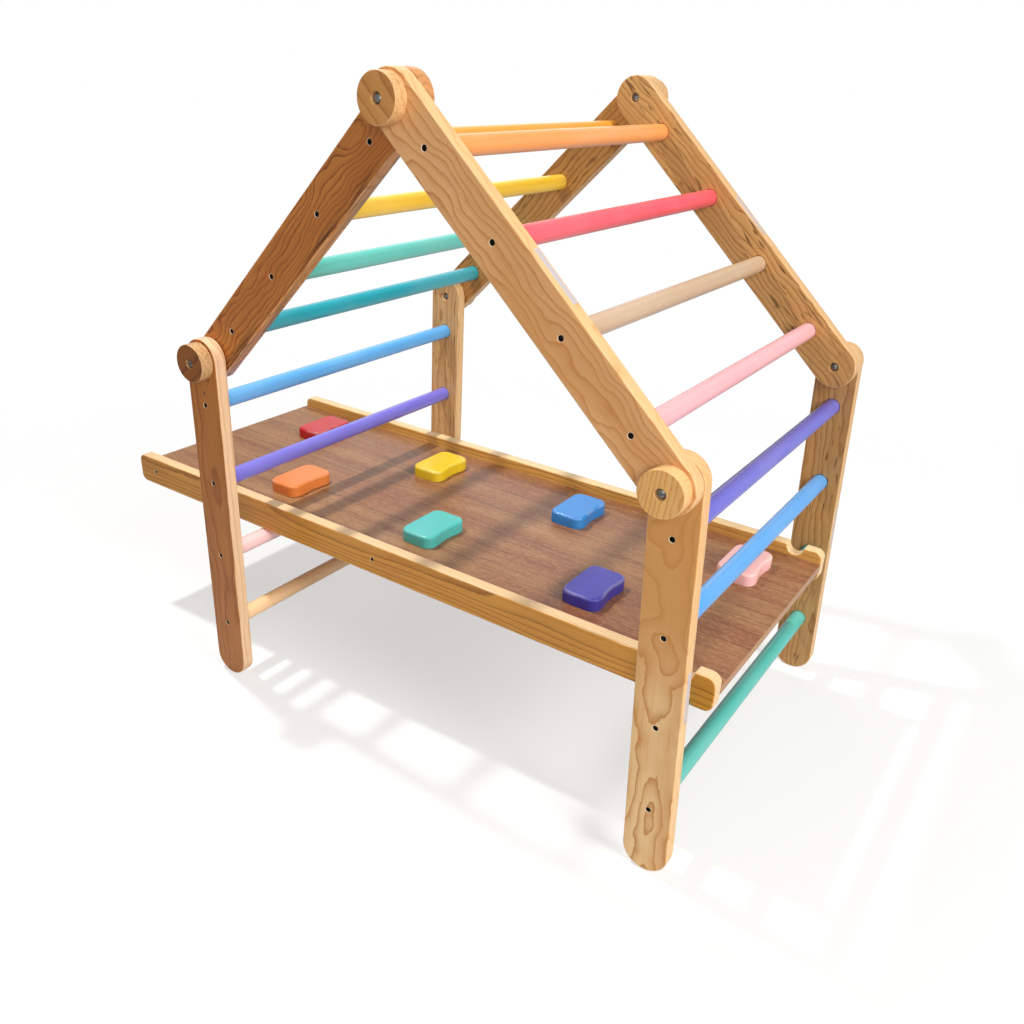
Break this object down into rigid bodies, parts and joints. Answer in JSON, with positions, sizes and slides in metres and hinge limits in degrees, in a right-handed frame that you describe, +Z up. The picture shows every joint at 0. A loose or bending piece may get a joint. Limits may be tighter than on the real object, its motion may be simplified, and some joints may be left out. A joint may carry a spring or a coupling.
{
  "type": "climbing arch with rock climbing board",
  "caption": "House-shaped wooden climbing arch of hinged ladder panels with painted rungs, holding a plywood climbing board with rounded hand holds.",
  "frame": {"origin": "on the floor, at the middle of the footprint's bounding box", "axes": "+X along the span of the arch, from the board's free end to its hooked end; +Y away from the front knobs, along the rungs; +Z up"},
  "size_m": [1.2384, 0.7236, 1.0357],
  "materials": {
    "frame_pine": "satin varnish",
    "dark_pine": "satin varnish",
    "board_pine": "satin varnish",
    "plywood": "satin varnish",
    "steel": "satin",
    "black_steel": "satin",
    "paint_blue": "satin paint",
    "paint_violet": "satin paint",
    "paint_rose": "satin paint",
    "paint_natural": "satin paint",
    "paint_teal": "satin paint",
    "paint_mint": "satin paint",
    "paint_yellow": "satin paint",
    "paint_amber": "satin paint",
    "paint_orange": "satin paint",
    "paint_coral": "satin paint",
    "paint_lavender": "satin paint",
    "paint_sky": "satin paint",
    "paint_aqua": "satin paint",
    "hold_red": "gloss paint",
    "hold_orange": "gloss paint",
    "hold_yellow": "gloss paint",
    "hold_turquoise": "gloss paint",
    "hold_blue": "gloss paint",
    "hold_purple": "gloss paint",
    "hold_pink": "gloss paint"
  },
  "bodies": {
    "left_leg": {"left_leg_front_rail": "frame_pine", "left_leg_back_rail": "frame_pine", "left_leg_rung_1": "paint_blue", "left_leg_rung_2": "paint_violet", "left_leg_rung_3": "paint_rose", "left_leg_rung_4": "paint_natural", "left_leg_rung_screws": "black_steel", "left_leg_cap_nuts": "steel", "left_leg_washers": "steel"},
    "left_roof": {"left_roof_front_rail": "dark_pine", "left_roof_back_rail": "frame_pine", "left_roof_rung_1": "paint_teal", "left_roof_rung_2": "paint_mint", "left_roof_rung_3": "paint_yellow", "left_roof_rung_4": "paint_amber", "left_roof_rung_screws": "black_steel", "left_roof_cap_nuts": "steel", "left_roof_washers": "steel"},
    "right_roof": {"right_roof_front_rail": "frame_pine", "right_roof_back_rail": "frame_pine", "right_roof_rung_1": "paint_orange", "right_roof_rung_2": "paint_coral", "right_roof_rung_3": "paint_natural", "right_roof_rung_4": "paint_rose", "right_roof_rung_screws": "black_steel", "right_roof_cap_nuts": "steel", "right_roof_washers": "steel"},
    "right_leg": {"right_leg_front_rail": "frame_pine", "right_leg_back_rail": "frame_pine", "right_leg_rung_1": "paint_lavender", "right_leg_rung_2": "paint_sky", "right_leg_rung_3": "paint_teal", "right_leg_rung_4": "paint_aqua", "right_leg_rung_screws": "black_steel", "right_leg_cap_nuts": "steel", "right_leg_washers": "steel"},
    "board": {"board_front_rail": "board_pine", "board_back_rail": "board_pine", "plywood_panel": "plywood", "board_screws": "black_steel", "hold_screws": "black_steel", "red_hold": "hold_red", "orange_hold": "hold_orange", "yellow_hold": "hold_yellow", "turquoise_hold": "hold_turquoise", "blue_hold": "hold_blue", "purple_hold": "hold_purple", "pink_hold": "hold_pink"},
    "left_front_knob": {"left_front_knob_disc": "frame_pine", "left_front_knob_bolt": "steel"},
    "top_front_knob": {"top_front_knob_disc": "frame_pine", "top_front_knob_bolt": "steel"},
    "right_front_knob": {"right_front_knob_disc": "frame_pine", "right_front_knob_bolt": "steel"},
    "left_back_knob": {"left_back_knob_disc": "frame_pine", "left_back_knob_bolt": "steel"},
    "top_back_knob": {"top_back_knob_disc": "frame_pine", "top_back_knob_bolt": "steel"},
    "right_back_knob": {"right_back_knob_disc": "frame_pine", "right_back_knob_bolt": "steel"}
  },
  "joints": [
    {"name": "left_fold", "type": "hinge", "parent": "left_leg", "child": "left_roof", "pos_m": [-0.25515, 0, 0.60481], "axis": [0, 1, 0], "range_deg": [0, 18]},
    {"name": "top_fold", "type": "hinge", "parent": "left_roof", "child": "right_roof", "pos_m": [0.15487, 0, 1.00076], "axis": [0, 1, 0], "range_deg": [-36, 0]},
    {"name": "right_fold", "type": "hinge", "parent": "right_roof", "child": "right_leg", "pos_m": [0.56489, 0, 0.60481], "axis": [0, 1, 0], "range_deg": [0, 18]},
    {"name": "board_tilt", "type": "hinge", "parent": "right_leg", "child": "board", "pos_m": [0.57419, 0, 0.24993], "axis": [0, 1, 0], "range_deg": [0, 2.4]},
    {"name": "left_front_knob_turn", "type": "hinge", "parent": "left_roof", "child": "left_front_knob", "pos_m": [-0.25515, -0.3398, 0.60481], "axis": [0, -1, 0], "continuous": true},
    {"name": "top_front_knob_turn", "type": "hinge", "parent": "left_roof", "child": "top_front_knob", "pos_m": [0.15487, -0.3398, 1.00076], "axis": [0, -1, 0], "continuous": true},
    {"name": "right_front_knob_turn", "type": "hinge", "parent": "right_leg", "child": "right_front_knob", "pos_m": [0.56489, -0.3398, 0.60481], "axis": [0, -1, 0], "continuous": true},
    {"name": "left_back_knob_turn", "type": "hinge", "parent": "left_leg", "child": "left_back_knob", "pos_m": [-0.25515, 0.3398, 0.60481], "axis": [0, 1, 0], "continuous": true},
    {"name": "top_back_knob_turn", "type": "hinge", "parent": "right_roof", "child": "top_back_knob", "pos_m": [0.15487, 0.3398, 1.00076], "axis": [0, 1, 0], "continuous": true},
    {"name": "right_back_knob_turn", "type": "hinge", "parent": "right_roof", "child": "right_back_knob", "pos_m": [0.56489, 0.3398, 0.60481], "axis": [0, 1, 0], "continuous": true}
  ],
  "couplings": [
    {"joint": "top_fold", "follows": "left_fold", "ratio": -2},
    {"joint": "right_fold", "follows": "left_fold", "ratio": 1}
  ]
}
